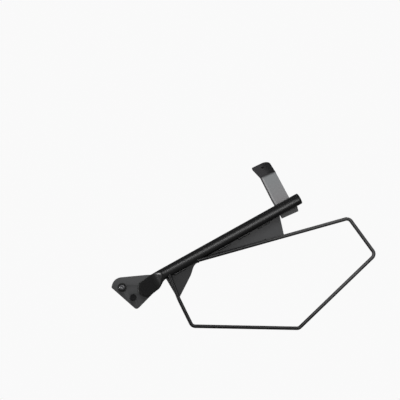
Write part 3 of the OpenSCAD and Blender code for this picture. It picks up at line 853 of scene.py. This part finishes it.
def stitches(sideY, starts):
    # beads in the corner between the tube and one face of the gusset
    skins, radius = [], weld["radius"]
    y = tubeY + sideY * ((gussetHigh.y - gussetLow.y) / 2 + radius * weld["stitchOut"])
    outward = inSpace(-squareToTube, sideY) * 0.7
    for u in starts:
        along = np.linspace(u - radius, u + weld["stitchLength"] + radius, 40)
        path = inTubeLine(along, y, -tubeRadius - radius * weld["stitchDown"])
        skins.append(rippledBead(path, radius, outward))
    return joined(skins)


def stitchStarts(first):
    last = gusset["end"] - weld["stitchLength"] - weld["clear"]
    return np.arange(first, last + 1e-6, weld["stitchPitch"])


def rodRing(point, way):
    # a bead round the rod, where it meets the tube
    a = np.linspace(0, fullTurn, 90)
    ring = rail["radius"]
    path = inSpace(point + ring * np.cos(a)[:, None] * leftOf(way), railY + ring * np.sin(a))
    return rippledBead(path, weld["radius"] * weld["rodBead"], inSpace(-way, 0), closed=True)


def tackDomes(points, way):
    # domes in the groove between the rod and the gusset, a at the azimuth and b from the pole:
    # radius * (1 + 0.05 * cos 3a * sin b - 0.08 * cos b to the eighth), a squat ball, puckered on top
    a = turnAngles(24)[None, :]
    b = np.linspace(0.05, math.pi - 0.05, 14)[:, None]
    skins = []
    for p in points:
        q = p + leftOf(way) * rail["radius"] * weld["tackOut"]
        r = weld["radius"] * (1 + 0.05 * np.cos(3 * a + p[0] * 400) * np.sin(b) - 0.08 * np.cos(b) ** 8)
        depth = gussetLow.y - weld["radius"] * weld["tackSink"] + r * np.cos(b)
        skins.append(closedTube(inSpace(q + (r * np.sin(b))[..., None] * flatWay(a), depth)))
    return joined(skins)


def noseBead():
    # round the nose of the crushed end, on the face of the plate
    noseRadius = halfWidth(tube["flatThick"] / 2)
    noseCentre = tube["noseAt"] + noseRadius
    a = np.linspace(weld["noseFrom"], weld["noseTo"], 60)
    path = inTubeLine(noseCentre + noseRadius * np.cos(a),
                      plateFrontY - weld["radius"] * weld["noseSink"],
                      -tube["flatDrop"] + noseRadius * np.sin(a))
    centre = inTubeLine(noseCentre, plateFrontY, -tube["flatDrop"])
    return rippledBead(path, weld["radius"], unit(path - centre) * 0.7 + [0, -0.7, 0])


def strapBead(side):
    # along the strap, above the tube for side 1 and below it for -1
    along = np.linspace(weld["strapLead"], strap["width"] - weld["strapTail"], 40) + strap["at"]
    y = plateFrontY - weld["radius"] * weld["strapSink"]
    path = inTubeLine(along, y, side * tubeRadius * weld["strapRise"])
    return rippledBead(path, weld["radius"] * weld["strapBead"], inSpace(squareToTube * side * 0.8, -0.6))


def makeWelds(material):
    # the outer stitches leave the stretch where the top run lies close to the tube
    radius, clear = weld["radius"], weld["clear"]
    clearOfRun = rail["leaveAt"] - (rail["radius"] + clear) / topRunSlope
    outerStarts = np.concatenate([[rail["legAt"] + rail["radius"] + clear], stitchStarts(clearOfRun)])
    legRun = gusset["tipDepth"] - tubeRadius
    topRun = gusset["end"] - gusset["rake"] - rail["leaveAt"]
    legPoints = [legTop - legWay * (tubeRadius + legRun * share) for share in weld["legTacks"]]
    runPoints = [topLeave + topWay * topRun * share for share in weld["runTacks"]]
    for name, node, skin in (
            ("noseWeld", "weld_crushed_end", noseBead()),
            ("gussetWeldOuter", "weld_gusset_outer", stitches(-1, outerStarts)),
            ("gussetWeldInner", "weld_gusset_inner", stitches(1, stitchStarts(rail["legAt"]))),
            ("strapWeldUpper", "weld_strap_upper", strapBead(1)),
            ("strapWeldLower", "weld_strap_lower", strapBead(-1)),
            ("legWeld", "weld_front_leg", rodRing(legTop - legWay * tubeRadius, legWay)),
            ("runWeld", "weld_top_run", rodRing(topStart + topWay * radius, topWay)),
            ("legTacks", "tacks_front_leg", tackDomes(legPoints, legWay)),
            ("runTacks", "tacks_top_run", tackDomes(runPoints, topWay))):
        newPiece(name, skin, material, node)


# Shader groups: each puts out values only
def newGroup(name, inputs, outputs):
    # inputs are numbers with their defaults; outputs are "Float" or "Vector"
    group = bpy.data.node_groups.new(name, "ShaderNodeTree")
    for label, value in inputs.items():
        socket = group.interface.new_socket(label, in_out="INPUT", socket_type="NodeSocketFloat")
        socket.default_value = value
    for label, kind in outputs.items():
        group.interface.new_socket(label, in_out="OUTPUT", socket_type="NodeSocket" + kind)
    return group, group.nodes.new("NodeGroupInput"), group.nodes.new("NodeGroupOutput")


def linked(tree, kind, settings=None, values=None, links=None):
    # a node with its settings, its fixed inputs and its links, in one call
    node = tree.nodes.new(kind)
    for key, value in (settings or {}).items():
        setattr(node, key, value)
    for key, value in (values or {}).items():
        node.inputs[key].default_value = value
    for key, source in (links or {}).items():
        tree.links.new(source, node.inputs[key])
    return node


bumpDistance = 0.08 * mm


def makeCoatGroup():
    # powder coat: a fine orange peel, a soft mottling and a roughness that follows it
    group, enter, leave = newGroup(
        "powderCoat",
        {"Peel Size": 700.0, "Peel Bump": 0.1, "Mottle Size": 35.0, "Mottle": 0.25, "Rough": 0.4,
         "Rough Spread": 0.06},
        {"Shade": "Float", "Roughness": "Float", "Normal": "Vector"})
    place = group.nodes.new("ShaderNodeTexCoord").outputs["Object"]
    peel = linked(group, "ShaderNodeTexNoise", values={"Detail": 2.0, "Roughness": 0.5},
                  links={"Vector": place, "Scale": enter.outputs["Peel Size"]})
    mottle = linked(group, "ShaderNodeTexNoise", values={"Detail": 4.0, "Roughness": 0.6},
                    links={"Vector": place, "Scale": enter.outputs["Mottle Size"]})
    centred = linked(group, "ShaderNodeMath", {"operation": "SUBTRACT"}, {1: 0.5},
                     {0: mottle.outputs["Fac"]}).outputs[0]
    scaled = {"operation": "MULTIPLY_ADD", "use_clamp": True}
    shade = linked(group, "ShaderNodeMath", scaled, {2: 0.5}, {0: centred, 1: enter.outputs["Mottle"]})
    rough = linked(group, "ShaderNodeMath", scaled, links={
        0: centred, 1: enter.outputs["Rough Spread"], 2: enter.outputs["Rough"]})
    bump = linked(group, "ShaderNodeBump", values={"Distance": bumpDistance},
                  links={"Height": peel.outputs["Fac"], "Strength": enter.outputs["Peel Bump"]})
    group.links.new(shade.outputs[0], leave.inputs["Shade"])
    group.links.new(rough.outputs[0], leave.inputs["Roughness"])
    group.links.new(bump.outputs["Normal"], leave.inputs["Normal"])
    return group


def makeScratchGroup():
    # fine turned or brushed marks: noise stretched a lot along the depth
    group, enter, leave = newGroup("fineMarks", {"Mark Size": 900.0, "Stretch": 0.06}, {"Marks": "Float"})
    place = group.nodes.new("ShaderNodeTexCoord").outputs["Object"]
    squeeze = linked(group, "ShaderNodeCombineXYZ", values={"X": 1.0, "Z": 1.0},
                     links={"Y": enter.outputs["Stretch"]})
    stretched = linked(group, "ShaderNodeVectorMath", {"operation": "MULTIPLY"}, {},
                       {0: place, 1: squeeze.outputs[0]})
    marks = linked(group, "ShaderNodeTexNoise", values={"Detail": 3.0, "Roughness": 0.6},
                   links={"Vector": stretched.outputs[0], "Scale": enter.outputs["Mark Size"]})
    group.links.new(marks.outputs["Fac"], leave.inputs["Marks"])
    return group


def makeAlongGroup():
    # how far along the tube a point lies, dot(point, tube's line): 0 before From, 1 after To
    group, enter, leave = newGroup("alongTheTube", {"From": 0.0, "To": 0.1}, {"Share": "Float"})
    place = group.nodes.new("ShaderNodeTexCoord").outputs["Object"]
    along = linked(group, "ShaderNodeVectorMath", {"operation": "DOT_PRODUCT"},
                   {1: (alongTube[0], 0.0, alongTube[1])}, {0: place})
    share = linked(group, "ShaderNodeMapRange", {"interpolation_type": "SMOOTHSTEP"}, {},
                   {"Value": along.outputs["Value"], "From Min": enter.outputs["From"],
                    "From Max": enter.outputs["To"]})
    group.links.new(share.outputs[0], leave.inputs["Share"])
    return group


# Finishes: what a user would change
finishes = {
    "tubeCoat": {
        "dark": (0.0046, 0.0046, 0.0050), "light": (0.0068, 0.0068, 0.0072),
        "rough": 0.38, "peel": 650.0, "bump": 0.05, "dullAt": (66 * mm, 77 * mm), "dullRough": 1.0},
    "plateCoat": {
        "dark": (0.072, 0.073, 0.077), "light": (0.094, 0.095, 0.099),
        "rough": 0.62, "peel": 1100.0, "bump": 0.12},
    "rodCoat": {
        "dark": (0.078, 0.077, 0.078), "light": (0.104, 0.103, 0.104),
        "rough": 0.42, "specular": 0.34, "peel": 750.0, "bump": 0.04,
        # the rod's front colours are painted shade, darker toward the front
        "paintedShadeAt": (230 * mm, 470 * mm),
        "paintedShadeDark": (0.008, 0.008, 0.009), "paintedShadeLight": (0.013, 0.013, 0.014)},
    "weldCoat": {
        "dark": (0.008, 0.008, 0.009), "light": (0.014, 0.014, 0.015),
        "rough": 0.42, "peel": 900.0, "bump": 0.12},
    "boltBlack": {
        "dark": (0.006, 0.006, 0.007), "light": (0.010, 0.010, 0.011),
        "rough": 0.72, "specular": 0.2, "peel": 1400.0, "bump": 0.06},
    "plastic": {
        "dark": (0.0035, 0.0035, 0.0038), "light": (0.006, 0.006, 0.0064),
        "rough": 0.60, "specular": 0.3, "peel": 1600.0, "bump": 0.15},
}
# the gusset's coat, with painted shade darkening its front
finishes["gussetCoat"] = {
    **finishes["plateCoat"], "paintedShadeAt": (130 * mm, 230 * mm),
    "paintedShadeDark": (0.026, 0.026, 0.028), "paintedShadeLight": (0.036, 0.036, 0.038)}


def newMaterial(name):
    material = bpy.data.materials.new(name)
    material.use_nodes = True
    tree = material.node_tree
    return material, tree, tree.nodes["Principled BSDF"]


def coatNodes(tree, shader, coatGroup, finish):
    # the coat's group, feeding roughness and normal; gives back the shade mask
    coat = linked(tree, "ShaderNodeGroup", {"node_tree": coatGroup},
                  {"Peel Size": finish["peel"], "Peel Bump": finish["bump"], "Rough": finish["rough"]})
    tree.links.new(coat.outputs["Roughness"], shader.inputs["Roughness"])
    tree.links.new(coat.outputs["Normal"], shader.inputs["Normal"])
    return coat.outputs["Shade"]


def mixed(tree, factor, first, second):
    # one colour to another by a mask; either may be a fixed colour or a socket
    mix = tree.nodes.new("ShaderNodeMix")
    mix.data_type = "RGBA"
    for value, index in ((first, 6), (second, 7)):
        if isinstance(value, bpy.types.NodeSocket):
            tree.links.new(value, mix.inputs[index])
        else:
            mix.inputs[index].default_value = (*value, 1.0)
    tree.links.new(factor, mix.inputs[0])
    return mix.outputs[2]


def ramped(tree, value, low, high):
    # 0 below low, 1 above high, smooth between
    return linked(tree, "ShaderNodeMapRange", {"interpolation_type": "SMOOTHSTEP"},
                  {"From Min": low, "From Max": high}, {"Value": value}).outputs[0]


def alongMask(tree, alongGroup, limits):
    return linked(tree, "ShaderNodeGroup", {"node_tree": alongGroup},
                  {"From": limits[0], "To": limits[1]}).outputs["Share"]


def makeCoat(name, coatGroup, alongGroup):
    finish = finishes[name]
    material, tree, shader = newMaterial(name)
    shade = coatNodes(tree, shader, coatGroup, finish)
    colour = mixed(tree, shade, finish["dark"], finish["light"])
    shader.inputs["Specular IOR Level"].default_value = finish.get("specular", 0.5)
    if "paintedShadeAt" in finish:
        # painted shade: the coat is darkened toward the front of the piece
        front = mixed(tree, shade, finish["paintedShadeDark"], finish["paintedShadeLight"])
        colour = mixed(tree, alongMask(tree, alongGroup, finish["paintedShadeAt"]), front, colour)
    if "dullAt" in finish:
        # and duller where the tube was pressed flat
        rough = shader.inputs["Roughness"].links[0].from_socket
        pressed = alongMask(tree, alongGroup, finish["dullAt"])
        dull = linked(tree, "ShaderNodeMix", {"data_type": "FLOAT"}, {2: finish["dullRough"]},
                      {0: pressed, 3: rough})
        tree.links.new(dull.outputs[0], shader.inputs["Roughness"])
    tree.links.new(colour, shader.inputs["Base Color"])
    return material


strapFinish = {
    "uprightLow": (0.385, 0.372, 0.381),
    "uprightHigh": (0.365, 0.381, 0.391),
    # by the front edge: a painted highlight strip and a painted shade line
    "paintedEdgeHighlight": (0.54, 0.54, 0.55),
    "paintedEdgeShade": (0.024, 0.024, 0.026),
    # the foot's and the tab's colours are painted shade; the foot's upper one is a painted shadow under the
    # tube
    "footPaintedShadow": (0.022, 0.022, 0.024),
    "footPaintedShade": (0.22, 0.22, 0.225),
    "tabPaintedShade": (0.030, 0.029, 0.031),
    "tabPaintedDeepShade": (0.006, 0.006, 0.007),
    "rough": 0.5,
    "peel": 900.0,
    "bump": 0.1,
    # across from the front edge: where the painted shade line and the painted highlight strip lie
    "line": (2.0 * mm, 3.6 * mm),
    "strip": (4.4 * mm, 7.6 * mm),
    "tabTurn": (0.35 * foldWidth, 0.8 * foldWidth),
    "footBelow": 4 * mm,        # where the foot's finish starts, under the tube's axis
    "footFade": (-3 * mm, 3 * mm),
    "footShade": (-8 * mm, 1 * mm),
    "foldFade": (-1.5 * mm, 0.6 * foldLength),
}


def makeStrapCoat(coatGroup):
    # the finish changes up the developed strap; by its front edge it has a painted shade line and a painted
    # highlight strip, and its foot and tab carry painted shade
    f = strapFinish
    material, tree, shader = newMaterial("strapCoat")
    coatNodes(tree, shader, coatGroup, f)
    up, across = (linked(tree, "ShaderNodeAttribute", {"attribute_name": name}).outputs["Fac"]
                  for name in ("upTheStrap", "acrossTheStrap"))
    footUp = -strap["foldRise"] - f["footBelow"]

    def blend(value, limits, first, second):
        return mixed(tree, ramped(tree, value, *limits), first, second)

    upright = blend(up, (footUp, 0.0), f["uprightLow"], f["uprightHigh"])
    lined = blend(across, f["line"], f["paintedEdgeShade"], blend(across, f["strip"], f["paintedEdgeHighlight"], upright))
    # painted shade on the foot, with a painted shadow close under the tube
    footTop = footUp - tubeRadius
    foot = blend(up, [footTop + k for k in f["footShade"]], f["footPaintedShade"], f["footPaintedShadow"])
    footed = blend(up, [footUp + k for k in f["footFade"]], foot, lined)
    # painted shade on the tab, darker toward its rear edge
    tab = blend(across, f["tabTurn"], f["tabPaintedShade"], f["tabPaintedDeepShade"])
    tree.links.new(blend(up, f["foldFade"], footed, tab), shader.inputs["Base Color"])
    return material


screwFinish = {
    "dark": (0.085, 0.085, 0.089),
    "light": (0.155, 0.155, 0.159),
    "rough": 0.34,
    "roughSpread": 0.16,
    "bump": 0.12,
    "bumpDistance": 0.03 * mm,
}


def makeBrightScrew(marksGroup):
    material, tree, shader = newMaterial("brightScrew")
    marks = linked(tree, "ShaderNodeGroup", {"node_tree": marksGroup}).outputs["Marks"]
    colour = mixed(tree, marks, screwFinish["dark"], screwFinish["light"])
    rough = linked(tree, "ShaderNodeMath", {"operation": "MULTIPLY_ADD"},
                   {1: screwFinish["roughSpread"], 2: screwFinish["rough"]}, {0: marks})
    bump = linked(tree, "ShaderNodeBump", {},
                  {"Strength": screwFinish["bump"], "Distance": screwFinish["bumpDistance"]},
                  {"Height": marks})
    shader.inputs["Metallic"].default_value = 1.0
    tree.links.new(colour, shader.inputs["Base Color"])
    tree.links.new(rough.outputs[0], shader.inputs["Roughness"])
    tree.links.new(bump.outputs["Normal"], shader.inputs["Normal"])
    return material


# Studio
studio = {
    "floorBelow": 1.7,
    "floorSize": 7.0,
    "floorColour": (0.80, 0.80, 0.80),
    "floorGlow": 0.78,
    "seenBackdrop": 0.95,
    "ambient": 0.11,
    "lamps": [
        # name, azimuth, elevation, distance, width, height, watts, turn about its own axis, lights by
        ("overheadSoftbox", -8.0, 69.0, 2.6, 2.2, 0.9, 66.0, 0.0, "diffuse"),
        ("longSoftbox", 3.0, 10.5, 0.75, 1.15, 0.14, 4.3, -23.0, "glossy"),
        ("frontSoftbox", -80.0, -8.0, 1.2, 0.60, 0.12, 9.5, 0.0, "glossy"),
        ("lowSoftbox", -5.0, -52.0, 2.2, 2.4, 2.2, 4.0, 0.0, "glossy"),
        ("rearSoftbox", 150.0, 40.0, 3.0, 1.6, 1.2, 45.0, 0.0, "both"),
    ],
}


def addLamp(name, azimuth, elevation, distance, width, height, watts, turn, lights):
    low, high = cadBox
    middle = (low + high) / 2
    data = bpy.data.lights.new(name, "AREA")
    data.shape = "RECTANGLE"
    data.size, data.size_y, data.energy = width, height, watts
    lamp = bpy.data.objects.new(name, data)
    bpy.context.scene.collection.objects.link(lamp)
    way = directionFrom(azimuth, elevation)
    lamp.location = middle + way * distance
    lamp.visible_camera = False
    lamp.visible_diffuse = lights != "glossy"
    lamp.visible_glossy = lights != "diffuse"
    lamp.rotation_mode = "QUATERNION"
    lamp.rotation_quaternion = (-way).to_track_quat("-Z", "Y") @ Quaternion((0, 0, 1), math.radians(turn))


def addStudio():
    scene = bpy.context.scene
    scene.view_settings.view_transform = "Standard"
    world = bpy.data.worlds.new("studioAir")
    scene.world = world
    world.use_nodes = True
    tree = world.node_tree
    tree.nodes.clear()
    ray = tree.nodes.new("ShaderNodeLightPath")
    white = (1, 1, 1, 1)
    seen, air = (
        linked(tree, "ShaderNodeBackground", values={"Color": white, "Strength": studio[key]})
        for key in ("seenBackdrop", "ambient"))
    both = linked(tree, "ShaderNodeMixShader",
                  links={0: ray.outputs["Is Camera Ray"], 1: air.outputs[0], 2: seen.outputs[0]})
    linked(tree, "ShaderNodeOutputWorld", links={"Surface": both.outputs[0]})
    # pale floor, well below the part; it is seen, but throws no light back at the part
    half = studio["floorSize"] / 2
    z = cadBox[0].z - studio["floorBelow"]
    mesh = bpy.data.meshes.new("floor")
    corners = [(-half, -half, z), (half, -half, z), (half, half, z), (-half, half, z)]
    mesh.from_pydata(corners, [], [(0, 1, 2, 3)])
    material, _, shader = newMaterial("floorPaint")
    for key, value in (("Base Color", (*studio["floorColour"], 1)), ("Roughness", 0.8),
                       ("Emission Color", white), ("Emission Strength", studio["floorGlow"])):
        shader.inputs[key].default_value = value
    mesh.materials.append(material)
    floor = bpy.data.objects.new("floor", mesh)
    floor.visible_diffuse = False
    floor.visible_glossy = False
    scene.collection.objects.link(floor)
    for lamp in studio["lamps"]:
        addLamp(*lamp)


addCamera()
addStudio()
print("camera and studio stand")

coatGroup = makeCoatGroup()
alongGroup = makeAlongGroup()
marksGroup = makeScratchGroup()
coats = {name: makeCoat(name, coatGroup, alongGroup) for name in finishes}
strapCoat = makeStrapCoat(coatGroup)
brightScrew = makeBrightScrew(marksGroup)
print("finishes mixed:", len(coats) + 2)

makeMainTube(coats["tubeCoat"])
makeEndPlug(coats["plastic"])
print("tube and plug made")
makeFrontPlate(coats["plateCoat"])
makeSocketScrew(brightScrew)
makeWasher(coats["plastic"])
makeHexBolt(coats["boltBlack"])
print("front plate and its bolts made")
makeBagRail(coats["rodCoat"])
makeGusset(coats["gussetCoat"])
makeStrap(strapCoat)
print("rail, gusset and strap made")
makeWelds(coats["weldCoat"])
print("welds made")
